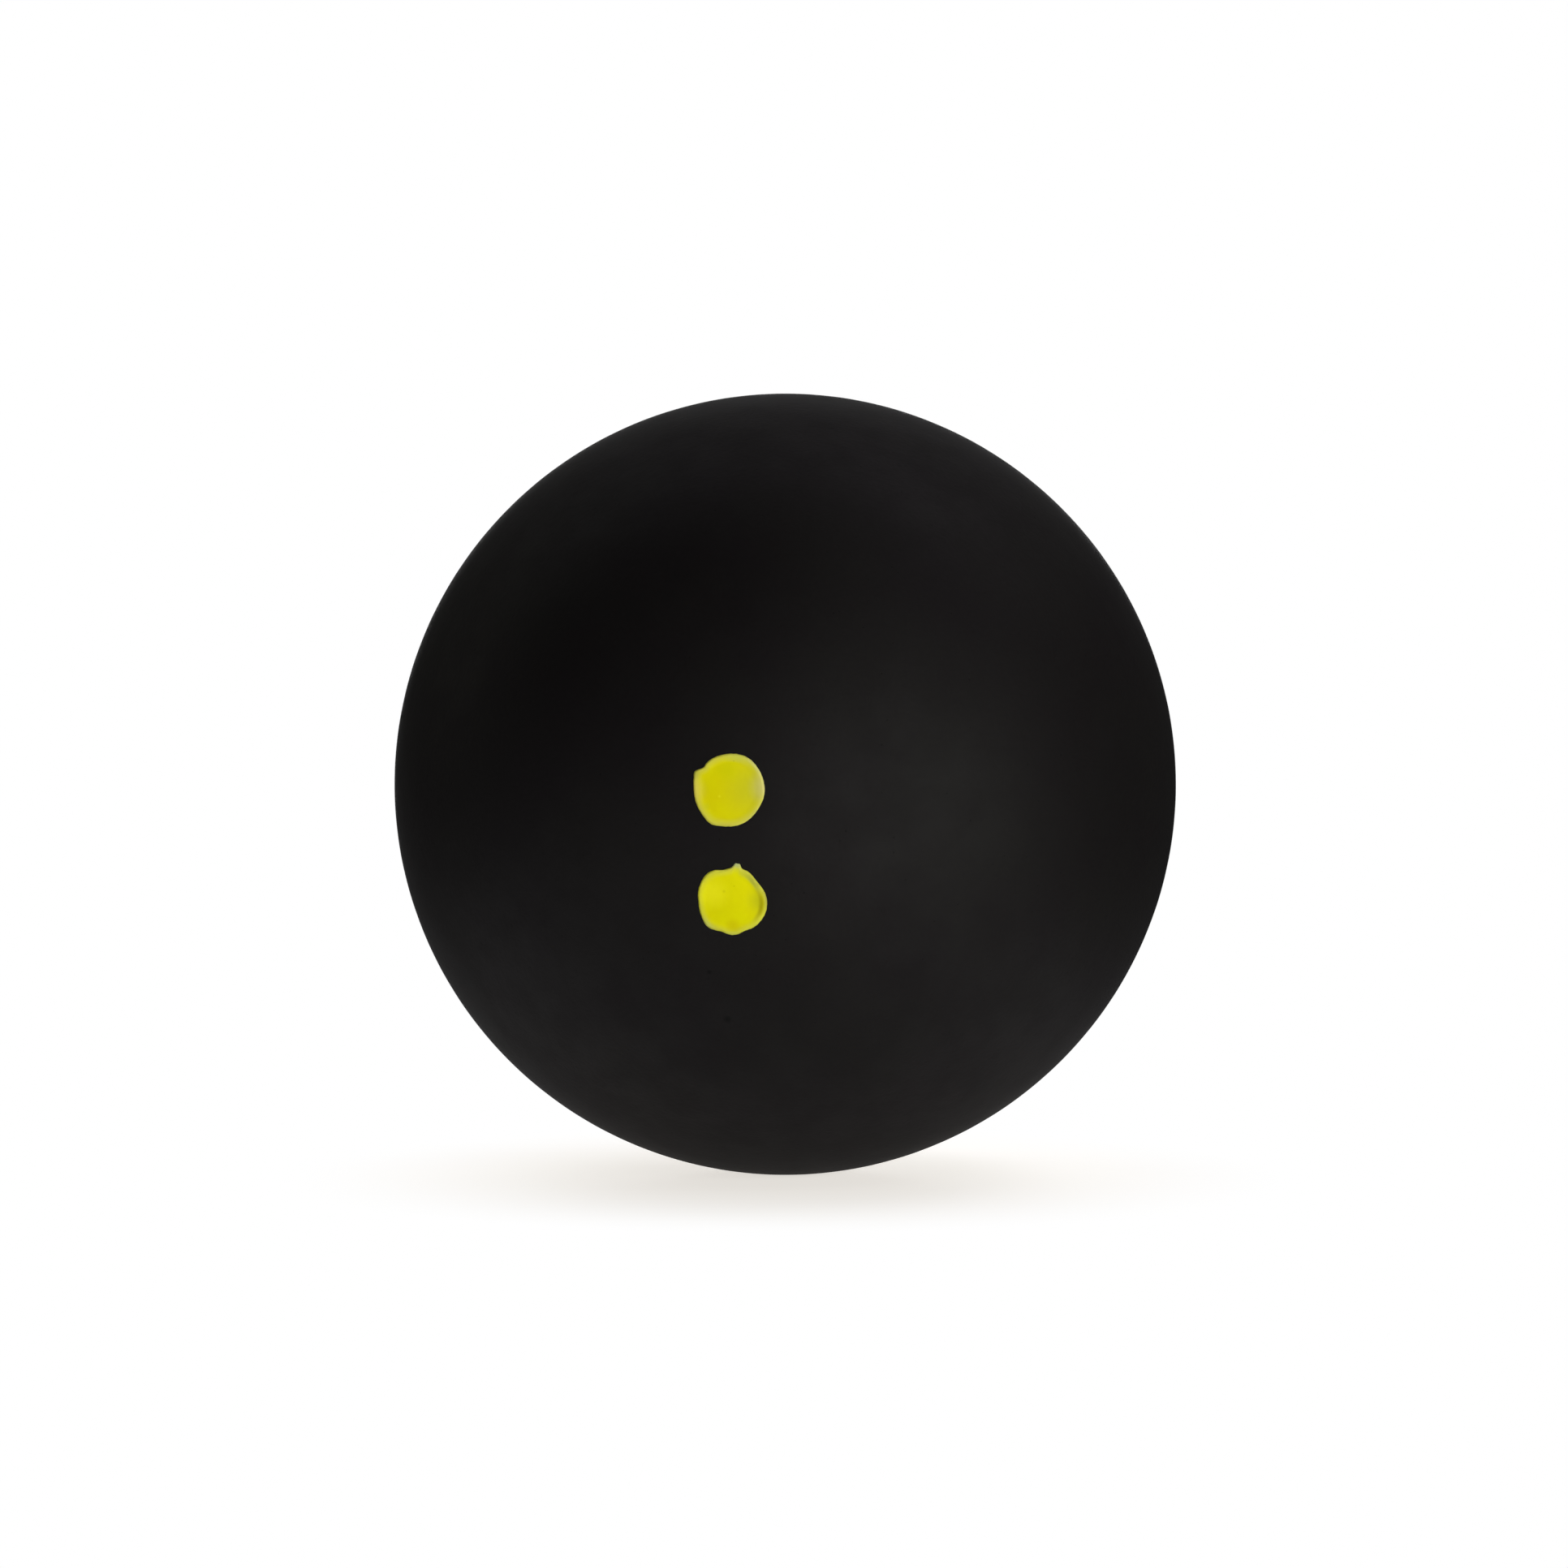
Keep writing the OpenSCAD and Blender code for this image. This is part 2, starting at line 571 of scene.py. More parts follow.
@dataclass(frozen=True)
class GroundRubber:
    """Outside of the ball: black filled rubber, ground matt.

    Attributes:
        black: Colour of the rubber.
        bloom: Paler, browner colour of the patches where wax has bloomed.
        pit: Colour of the dark specks, and of the painted shade in the pits.
        pit_share: How dark the painted shade in the pits is, where 1 is as dark as the specks.
        gloss: Specular level of the surface.
        seam_w: How far from the seam's middle plane the streaks of grinding reach.
        streak_share: Height of those streaks as a share of the grain's.
        seam_dulling: Roughness that grinding adds at the seam.
        pit_dulling: Roughness that the pits and specks add.
        depth: Height of the fine relief.
        specks: The two dark specks below the dots.
    """

    black: Colour = (0.0034, 0.0024, 0.0029)
    bloom: Colour = (0.0041, 0.0034, 0.0034)
    pit: Colour = (0.0010, 0.0009, 0.0009)
    pit_share: float = 0.6
    gloss: float = 0.11
    seam_w: float = 2.4 * MM
    streak_share: float = 0.8
    seam_dulling: float = 0.07
    pit_dulling: float = 0.15
    depth: float = 0.010 * MM
    specks: tuple[SurfaceSpot, ...] = (
        SurfaceSpot(-11.4, -26.0, 0.18 * MM),
        SurfaceSpot(-9.4, -33.5, 0.30 * MM),
    )

    def make(self, ball_r: float) -> Material:
        """Builds the material.

        Args:
            ball_r: Radius of the ball.

        Returns:
            The material.
        """
        surface = MaterialSketch("ground_rubber")
        clouds = surface.lay(Effect.MOTTLE, scale=140.0, low=0.0, high=1.0)
        pits = surface.lay(Effect.SPECKS, scale=3600.0, radius=0.2, share=0.05)
        seam = surface.lay(Effect.SEAM, half_w=self.seam_w)
        grain = surface.lay(Effect.GRAIN, scale=4200.0, pebble=0.35)
        streaks = surface.lay(Effect.STREAKS, along=90.0, across=6500.0)
        patches = surface.lay(Effect.MOTTLE, scale=420.0, low=0.62, high=0.69)
        # Painted shade in the pits, and the two dark specks below the dots
        dark = surface.math("MULTIPLY", pits, self.pit_share)
        for speck in self.specks:
            dark = surface.math("MAXIMUM", dark, speck.mask(surface, ball_r))
        colour = surface.mix_colour(clouds, self.black, self.bloom)
        colour = surface.mix_colour(dark, colour, self.pit)
        roughness = surface.math("MULTIPLY_ADD", seam, self.seam_dulling, patches)
        roughness = surface.math("MULTIPLY_ADD", dark, self.pit_dulling, roughness)
        ground = surface.math("MULTIPLY", streaks, seam)
        relief = surface.math("MULTIPLY_ADD", ground, self.streak_share, grain)
        relief = surface.math("SUBTRACT", relief, dark)
        return surface.dress(colour, surface.dull_at_grazing(roughness), self.gloss, relief, self.depth)


@dataclass(frozen=True)
class MouldedRubber:
    """Inside wall of the ball: rubber as the mould left it, with a dusty bloom.

    Attributes:
        black: Colour of the rubber.
        dust: Colour of the dried release agent on it.
        roughness: Roughness of the bare rubber and of the dust.
        gloss: Specular level of the surface.
        depth: Height of the fine relief.
    """

    black: Colour = (0.0040, 0.0038, 0.0038)
    dust: Colour = (0.0150, 0.0145, 0.0135)
    roughness: tuple[float, float] = (0.38, 0.62)
    gloss: float = 0.3
    depth: float = 0.008 * MM

    def make(self) -> Material:
        """Builds the material.

        Returns:
            The material.
        """
        surface = MaterialSketch("moulded_rubber")
        dusty = surface.lay(Effect.MOTTLE, scale=260.0, low=0.0, high=0.7)
        spots = surface.lay(Effect.SPECKS, scale=700.0, radius=0.3, share=0.1)
        grain = surface.lay(Effect.GRAIN, scale=2200.0, pebble=0.8)
        haze = surface.math("MAXIMUM", dusty, spots)
        colour = surface.mix_colour(haze, self.black, self.dust)
        roughness = surface.remap(haze, 0.0, 1.0, *self.roughness)
        return surface.dress(colour, roughness, self.gloss, grain, self.depth)


@dataclass(frozen=True)
class BuffedRubber:
    """Rims of the half shells, buffed rough for the solution.

    Attributes:
        dull: Colour of the buffed rubber.
        torn: Paler colour of the torn grain.
        gloss: Specular level of the surface.
        depth: Height of the fine relief.
    """

    dull: Colour = (0.0080, 0.0076, 0.0074)
    torn: Colour = (0.0190, 0.0180, 0.0170)
    gloss: float = 0.2
    depth: float = 0.03 * MM

    def make(self) -> Material:
        """Builds the material.

        Returns:
            The material.
        """
        surface = MaterialSketch("buffed_rubber")
        grain = surface.lay(Effect.GRAIN, scale=3000.0, pebble=0.1)
        roughness = surface.lay(Effect.MOTTLE, scale=900.0, low=0.7, high=0.9)
        colour = surface.mix_colour(grain, self.dull, self.torn)
        return surface.dress(colour, roughness, self.gloss, grain, self.depth)


@dataclass(frozen=True)
class CuredSolution:
    """The cured film of rubber solution in the seam.

    Attributes:
        brown: Colour of the film.
        amber: Colour where it lies thin.
        roughness: Roughness of the clean film and of the dust on it.
        gloss: Specular level of the surface.
        dust_share: Height of the dust as a share of the streaks' height.
        depth: Height of the fine relief.
    """

    brown: Colour = (0.0060, 0.0050, 0.0042)
    amber: Colour = (0.0105, 0.0080, 0.0058)
    roughness: tuple[float, float] = (0.48, 0.66)
    gloss: float = 0.12
    dust_share: float = 0.6
    depth: float = 0.006 * MM

    def make(self) -> Material:
        """Builds the material.

        Returns:
            The material.
        """
        surface = MaterialSketch("cured_solution")
        thin = surface.lay(Effect.MOTTLE, scale=350.0, low=0.0, high=1.0)
        dust = surface.lay(Effect.SPECKS, scale=1500.0, radius=0.3, share=0.15)
        streaks = surface.lay(Effect.STREAKS, along=240.0, across=5200.0)
        colour = surface.mix_colour(thin, self.brown, self.amber)
        roughness = surface.dull_at_grazing(surface.remap(dust, 0.0, 1.0, *self.roughness))
        relief = surface.math("MULTIPLY_ADD", dust, self.dust_share, streaks)
        return surface.dress(colour, roughness, self.gloss, relief, self.depth)


@dataclass(frozen=True)
class InkAndLightPatch(SurfaceSpot):
    """A patch of other colour on a dot: uneven ink, or a painted highlight, painted shade or painted light.

    Attributes:
        colour: Colour in its middle, of the ink or of the painted highlight, shade or light.
        strength: Share of that colour in its middle.
        inner: How far out across the dot it starts, as a share of the dot's radius.
        outer: How far out it ends.
    """

    colour: Colour
    strength: float = 1.0
    inner: float = 0.0
    outer: float = 1.0

    def lay_over(self, surface: MaterialSketch, under: Feed, edge: Feed, ball_r: float) -> NodeSocket:
        """Lays the patch over a colour.

        Args:
            surface: Sketch of the ink.
            under: Colour under the patch.
            edge: How far out across the dot the shaded point lies.
            ball_r: Radius of the ball.

        Returns:
            The colour with the patch on it.
        """
        soft = 0.05
        share = surface.math("MULTIPLY", self.mask(surface, ball_r), self.strength)
        for limit, inside, outside in ((self.inner, 0.0, 1.0), (self.outer, 1.0, 0.0)):
            if 0.0 < limit < 1.0:
                fade = surface.remap(edge, limit - soft, limit + soft, inside, outside)
                share = surface.math("MULTIPLY", share, fade)
        return surface.mix_colour(share, under, self.colour)


@dataclass(frozen=True)
class PadInk:
    """Yellow ink of a printed dot.

    Attributes:
        name: Name of the material.
        yellow: Colour of the flat of the ink.
        warm: Colour of the clouds where more pigment lies.
        pale: Paler colour of the fat edge, partly a painted highlight of its glossy crest.
        patches: Its patches of uneven ink and of painted highlight, shade and light, each laid over those
            before it.
        pale_from: How far out the pale colour and its painted highlight start, as a share of the dot's
            radius.
        pale_share: Share of the pale colour, partly painted highlight, at the very edge.
        hole_share: Share of the shade that the pinholes have.
        shade: How bright that shade is, as a share of the warm colour.
        roughness: Roughness in the grain's hollows and on its crests.
        gloss: Specular level of the ink.
        depth: Height of the fine relief.
    """

    name: str
    yellow: Colour
    warm: Colour
    pale: Colour
    patches: tuple[InkAndLightPatch, ...]
    pale_from: float = 0.74
    pale_share: float = 0.7
    hole_share: float = 0.25
    shade: float = 0.4
    roughness: tuple[float, float] = (0.40, 0.52)
    gloss: float = 0.07
    depth: float = 0.004 * MM

    def make(self, ball_r: float) -> Material:
        """Builds the material.

        Args:
            ball_r: Radius of the ball.

        Returns:
            The material.
        """
        surface = MaterialSketch(self.name)
        edge = surface.add("ShaderNodeAttribute", attribute_name=EDGE_SHARE).outputs["Fac"]
        clouds = surface.lay(Effect.MOTTLE, scale=900.0, low=0.0, high=1.0)
        grain = surface.lay(Effect.GRAIN, scale=5200.0, pebble=0.5)
        pinholes = surface.lay(Effect.SPECKS, scale=4200.0, radius=0.2, share=0.04)
        colour = surface.mix_colour(clouds, self.yellow, self.warm)
        # Paler towards the fat edge: partly paler ink, partly a painted highlight of the glossy crest
        pale_edge_and_highlight = surface.remap(edge, self.pale_from, 1.0, 0.0, self.pale_share)
        colour = surface.mix_colour(pale_edge_and_highlight, colour, self.pale)
        # Patches of uneven ink, and of painted highlight, painted shade and painted light
        for patch in self.patches:
            colour = patch.lay_over(surface, colour, edge, ball_r)
        shaded = surface.math("MULTIPLY", pinholes, self.hole_share)
        colour = surface.mix_colour(shaded, colour, tuple(self.shade * part for part in self.warm))
        roughness = surface.remap(grain, 0.2, 0.8, *self.roughness)
        relief = surface.math("SUBTRACT", grain, pinholes)
        return surface.dress(colour, roughness, self.gloss, relief, self.depth)


UPPER_INK = PadInk(
    name="upper_dot_ink",
    yellow=(0.78, 0.715, 0.0004),
    warm=(0.78, 0.69, 0.0004),
    pale=(0.67, 0.63, 0.115),
    patches=(
        InkAndLightPatch(-4.0, -0.6, 1.90 * MM, (0.63, 0.585, 0.014)),
        InkAndLightPatch(-7.6, 2.0, 0.80 * MM, (0.70, 0.66, 0.0004), 0.8),
        # Ochre left edge, its paleness a painted reflection
        InkAndLightPatch(-12.6, -0.8, 0.90 * MM, (0.80, 0.67, 0.10), 0.9),
        # Painted highlight and painted shade: the pale, greyer right part of the glossy fat edge
        InkAndLightPatch(-2.0, -0.3, 1.15 * MM, (0.64, 0.58, 0.22)),
        # Painted highlight: paler bands on the fat edge at the lower right, the upper right and the top
        InkAndLightPatch(-3.9, -3.9, 1.20 * MM, (0.60, 0.56, 0.10), 0.85, inner=0.93),
        InkAndLightPatch(-3.9, 2.4, 1.20 * MM, (0.62, 0.60, 0.19), 0.85, inner=0.93),
        InkAndLightPatch(-6.4, 4.2, 0.90 * MM, (0.60, 0.60, 0.085), 0.8, inner=0.80),
        InkAndLightPatch(-10.5, -2.9, 0.25 * MM, (0.70, 0.68, 0.02), 0.6),
        InkAndLightPatch(-12.3, 1.6, 0.50 * MM, (0.46, 0.44, 0.07), 0.8),
        InkAndLightPatch(-8.7, -1.6, 0.12 * MM, (0.92, 0.85, 0.03)),
    ),
)
LOWER_INK = PadInk(
    name="lower_dot_ink",
    yellow=(0.875, 0.83, 0.0003),
    warm=(0.865, 0.80, 0.0003),
    pale=(0.68, 0.67, 0.09),
    patches=(
        # Painted light: the left part made brighter where the lamps light it less
        InkAndLightPatch(-10.0, -14.6, 1.00 * MM, (1.0, 0.93, 0.010)),
        # Painted shade: the darker right part
        InkAndLightPatch(-3.2, -15.6, 0.95 * MM, (0.66, 0.63, 0.010)),
        InkAndLightPatch(-7.4, -19.1, 0.50 * MM, (0.76, 0.65, 0.002), 0.8, outer=0.90),
        # Painted shade: the dark crease inside the right rim, and the greyer right and upper right rim
        InkAndLightPatch(-3.3, -16.3, 1.10 * MM, (0.44, 0.37, 0.001), 0.85, inner=0.80, outer=0.90),
        InkAndLightPatch(-2.8, -15.6, 0.90 * MM, (0.44, 0.42, 0.07), 0.9, inner=0.94),
        InkAndLightPatch(-4.4, -12.9, 0.90 * MM, (0.48, 0.48, 0.05), 0.9, inner=0.83),
        # Painted highlight: paler fat edge at the top nub, the lower left and the bottom
        InkAndLightPatch(-6.6, -10.4, 0.50 * MM, (0.50, 0.56, 0.24), 1.0, inner=0.90),
        InkAndLightPatch(-11.3, -19.2, 0.70 * MM, (0.62, 0.65, 0.14), 0.9, inner=0.86),
        InkAndLightPatch(-7.7, -20.2, 0.50 * MM, (0.72, 0.73, 0.10), 0.9, inner=0.90),
        InkAndLightPatch(-8.4, -14.3, 0.13 * MM, (0.62, 0.56, 0.001), 0.7),
    ),
)


@dataclass
class RubberShell:
    """One moulded half shell: ground outside, buffed rim and moulded inside wall.

    Attributes:
        half: Which of the two half shells this is.
        sizes: The ball's sizes.
        outside_levels: Levels of the sphere that the outside is cut from.
        inside_levels: Levels of the sphere that the inside wall is cut from.
        break_steps: Rings of faces across the rim's ground outer corner.
        break_roundness: 1 rounds that corner as an arc and 2 leaves it a plain bevel.
        buffed_steps: Rings of faces across the buffed face of the rim.
        buffed_depth: Depth of the marks that buffing leaves in that face.
        mark_w: Width of those marks.
        mark_turns: How often they change on their way along the seam.
        blend_w: Width of the faces that join the rim's inner bevel to the inside wall.
        wave_l: Length of the slow waves that grinding leaves in the outside.
        wave_h: Height of those waves.
        sharp_turn: Edges that turn by this many degrees or more are shaded sharp.
    """

    half: Half
    sizes: BallSizes
    outside_levels: int = 8
    inside_levels: int = 6
    break_steps: int = 4
    break_roundness: float = 1.6
    buffed_steps: int = 9
    buffed_depth: float = 0.015 * MM
    mark_w: float = 0.4 * MM
    mark_turns: float = 14.0
    blend_w: float = 0.3 * MM
    wave_l: float = 1.6 * MM
    wave_h: float = 0.004 * MM
    sharp_turn: float = 32.0

    def build(self, ground: Material, buffed: Material, moulded: Material) -> None:
        """Builds the half shell and puts it in the scene.

        Args:
            ground: Material of the outside.
            buffed: Material of the rim.
            moulded: Material of the inside wall.
        """
        mesh = bmesh.new()
        sizes = self.sizes
        outside, edge = self._dome(mesh, sizes.ball_r, self.outside_levels, sizes.rim_y + sizes.rim_break)
        self._raise_waves(outside)
        for radius, y in self._rim_profile():
            edge, ring = new_ring(mesh, edge)
            put_round_seam_axis(ring, radius, y)
            if y == sizes.rim_y:
                self._buff(ring)
        wall_y = sizes.rim_y + sizes.inner_bevel + self.blend_w
        inner_edge = self._dome(mesh, sizes.cavity_r, self.inside_levels, wall_y)[1]
        bmesh.ops.bridge_loops(mesh, edges=edge + inner_edge)
        finish_faces(mesh, self.sharp_turn)
        self._sort_faces(mesh)
        if self.half is Half.FRONT:
            bmesh.ops.rotate(mesh, verts=mesh.verts, matrix=Matrix.Rotation(math.pi, 3, "Z"))
        name = self.half.node.replace("half_shell", "rubber_shell")
        finish_piece(mesh, name, [ground, buffed, moulded], self.half.node)

    @staticmethod
    def _dome(mesh: BMesh, radius: float, levels: int, edge_y: float) -> tuple[list[BMVert], list[BMEdge]]:
        """Makes a dome about the +Y axis whose edge is one even ring.

        Args:
            mesh: Mesh that gets the dome.
            radius: Radius of the dome.
            levels: Levels of the sphere that it is cut from.
            edge_y: Distance of the dome's edge from the seam's middle plane.

        Returns:
            The dome's vertices and the edges of its ring.
        """
        turned = Matrix.Rotation(math.pi / 2, 4, "X")
        made = bmesh.ops.create_icosphere(mesh, subdivisions=levels, radius=radius, matrix=turned)["verts"]
        near_plane = radius * 1e-5
        gone = [vert for vert in made if vert.co.y < -near_plane]
        kept = [vert for vert in made if vert.co.y >= -near_plane]
        bmesh.ops.delete(mesh, geom=gone, context="VERTS")
        squeeze = math.acos(edge_y / radius) / (math.pi / 2)
        for vert in kept:
            polar = math.acos(min(max(vert.co.y / radius, 0.0), 1.0)) * squeeze
            across = across_axis(vert.co).normalized()
            vert.co = radius * (math.sin(polar) * across + Vector((0.0, math.cos(polar), 0.0)))
        ring_verts = [vert for vert in kept if vert.is_boundary]
        ring = {edge for vert in ring_verts for edge in vert.link_edges if edge.is_boundary}
        return kept, list(ring)

    def _raise_waves(self, verts: list[BMVert]) -> None:
        """Gives the outside the slow, shallow waves of a ground surface, other ones on each half shell.

        Args:
            verts: The outside's vertices.
        """
        shift = Vector((3.1, 7.7 * self.half.side, 1.3))
        for vert in verts:
            vert.co += vert.co.normalized() * self.wave_h * layered_noise(vert.co / self.wave_l + shift)

    def _rim_profile(self) -> list[tuple[float, float]]:
        """Works out the rings that follow the outside's edge, over the rim to the inside wall.

        Returns:
            For each ring, its distance from the seam's axis and from the seam's middle plane.
        """
        sizes = self.sizes
        rings = []
        for step in range(1, self.break_steps + 1):
            angle = math.pi / 2 * step / self.break_steps
            sunk = sizes.rim_break * (1.0 - math.cos(angle) ** self.break_roundness)
            ahead = sizes.rim_break * (1.0 - math.sin(angle) ** self.break_roundness)
            rings.append((sizes.outer_rim_r - sunk, sizes.rim_y + ahead))
        first, last = sizes.outer_rim_r - sizes.rim_break, sizes.inner_rim_r + sizes.inner_bevel
        for step in range(1, self.buffed_steps + 1):
            rings.append((first + (last - first) * step / self.buffed_steps, sizes.rim_y))
        rings.append((sizes.inner_rim_r, sizes.rim_y + sizes.inner_bevel))
        return rings

    def _buff(self, verts: list[BMVert]) -> None:
        """Sinks a ring of the rim by the marks of buffing, which run along the seam.

        Args:
            verts: The ring's vertices.
        """
        for vert in verts:
            across = across_axis(vert.co)
            along = across.normalized() * self.mark_turns
            mark = noise.noise(Vector((along.x, across.length / self.mark_w, along.z)))
            vert.co.y += self.buffed_depth * min(abs(mark) * 2.0, 1.0)

    def _sort_faces(self, mesh: BMesh) -> None:
        """Gives each face the number of its material, by its distance from the ball's centre.

        Args:
            mesh: The half shell's mesh.
        """
        sizes = self.sizes
        # Both limits lie a little past a corner, so that no face's middle falls on them
        under_break = sizes.ball_r - 1.2 * sizes.rim_break
        on_bevel = sizes.inner_rim_r + 0.99 * sizes.inner_bevel
        for face in mesh.faces:
            away = face.calc_center_median().length
            face.material_index = 0 if away > under_break else 1 if away > on_bevel else 2


@dataclass
class SeamFilm:
    """The cured film between the rims: its edge in the groove, and the bead inside the ball.

    Attributes:
        sizes: The ball's sizes.
        steps: Sections round the ball.
        bead_steps: Faces across the bead.
        meniscus_dip: How far the film dips between the groove's two edges.
        rough_h: Height of the uneven places in the groove.
        rough_l: Length of those places.
        rough_sink: How far they lie lower on the whole, as a share of their height.
        swing: How much the bead's height changes along it, as a share.
        swell_l: Length of the bead's swellings.
        ripple_l: Length of the ripples on them, which are half as high.
        pinch: How much narrower the bead is at most in some places, as a share of its half width.
        pinch_l: Length of those places.
        sharp_turn: Edges that turn by this many degrees or more are shaded sharp.
    """

    sizes: BallSizes
    steps: int = 640
    bead_steps: int = 14
    meniscus_dip: float = 0.02 * MM
    rough_h: float = 0.008 * MM
    rough_l: float = 0.9 * MM
    rough_sink: float = 0.4
    swing: float = 0.3
    swell_l: float = 4.0 * MM
    ripple_l: float = 1.2 * MM
    pinch: float = 0.08
    pinch_l: float = 2.5 * MM
    sharp_turn: float = 40.0

    def build(self, solution: Material) -> None:
        """Builds the film and puts it in the scene.

        Args:
            solution: Its material.
        """
        mesh = bmesh.new()
        corners = [mesh.verts.new((radius, y, 0.0)) for radius, y in self._section()]
        sides = [mesh.edges.new(pair) for pair in zip(corners, corners[1:] + corners[:1])]
        bmesh.ops.spin(
            mesh,
            geom=corners + sides,
            axis=(0.0, 1.0, 0.0),
            cent=(0.0, 0.0, 0.0),
            angle=2.0 * math.pi,
            steps=self.steps,
            use_merge=True,
        )
        self._make_uneven(mesh)
        finish_faces(mesh, self.sharp_turn)
        finish_piece(mesh, "seam_film", [solution], "seam_adhesive")

    def _section(self) -> list[tuple[float, float]]:
        """Works out the closed section of the film.

        Returns:
            Its corners in order: distance from the seam's axis, and place along it.
        """
        sizes = self.sizes
        top = sizes.ball_r - sizes.film_recess
        contact = sizes.rim_y + sizes.rim_break - sizes.film_recess
        shares = (-1.0, -0.85, -0.6, -0.3, 0.0, 0.3, 0.6, 0.85, 1.0)
        groove = [(top - self.meniscus_dip * (1.0 - share**2), share * contact) for share in shares]
        flank = [
            (sizes.outer_rim_r - sizes.rim_break, sizes.rim_y),
            (sizes.inner_rim_r + sizes.inner_bevel, sizes.rim_y),
            (sizes.inner_rim_r, sizes.rim_y + sizes.inner_bevel),
        ]
        bead = []
        for step in range(self.bead_steps + 1):
            angle = math.pi * step / self.bead_steps
            y = sizes.bead_half_w * math.cos(angle)
            bead.append((sphere_reach(sizes.cavity_r, y) - sizes.bead_h * math.sin(angle), y))
        return groove + flank + bead + [(radius, -y) for radius, y in reversed(flank)]

    def _make_uneven(self, mesh: BMesh) -> None:
        """Lets the film in the groove and the bead inside swell and shrink along the seam.

        Args:
            mesh: The film's mesh.
        """
        # Below the film's dip and above the corners beside the groove
        groove_floor = self.sizes.ball_r - 1.8 * self.sizes.film_recess
        for vert in mesh.verts:
            across = across_axis(vert.co)
            radius = across.length
            wall = sphere_reach(self.sizes.cavity_r, vert.co.y)
            if radius > groove_floor:
                change = self.rough_h * (layered_noise(vert.co / self.rough_l) - self.rough_sink)
            elif radius < wall:
                swell = noise.noise(across / self.swell_l) + 0.5 * noise.noise(vert.co / self.ripple_l)
                change = (radius - wall) * self.swing * swell
                vert.co.y *= 1.0 - self.pinch * (1.0 + noise.noise(across / self.pinch_l))
            else:
                continue
            moved = across.normalized() * (radius + change)
            vert.co.x, vert.co.z = moved.x, moved.z


@dataclass(frozen=True)
class Lobe:
    """One lobe, flat or spur of a dot's ragged edge.

    Attributes:
        direction: Where it is, in degrees anticlockwise from the right.
        half_width: Its half width, in degrees.
        share: Its height as a share of the dot's radius.
    """

    direction: float
    half_width: float
    share: float

    def height(self, direction: float) -> float:
        """Gives the lobe's height in one direction, as a share of the dot's radius."""
        away = (direction - self.direction + 180.0) % 360.0 - 180.0
        return self.share * math.exp(-((away / self.half_width) ** 2))


UPPER_LOBES = (
    Lobe(62.0, 26.0, 0.045),
    Lobe(139.0, 10.0, -0.05),
    Lobe(151.0, 8.0, 0.1),
    Lobe(164.0, 9.0, 0.03),
    Lobe(190.0, 22.0, -0.02),
    Lobe(241.0, 15.0, 0.06),
    Lobe(325.0, 24.0, -0.035),
)
LOWER_LOBES = (
    Lobe(35.0, 16.0, -0.045),
    Lobe(60.0, 10.0, 0.015),
    Lobe(75.8, 3.6, 0.125),
    Lobe(81.8, 3.6, 0.125),
    Lobe(101.0, 11.0, -0.06),
    Lobe(130.0, 16.0, 0.045),
    Lobe(184.0, 20.0, -0.05),
    Lobe(226.0, 12.0, 0.06),
    Lobe(250.0, 7.0, -0.03),
    Lobe(272.0, 11.0, 0.02),
    Lobe(293.0, 10.0, -0.04),
    Lobe(346.0, 26.0, 0.035),
)


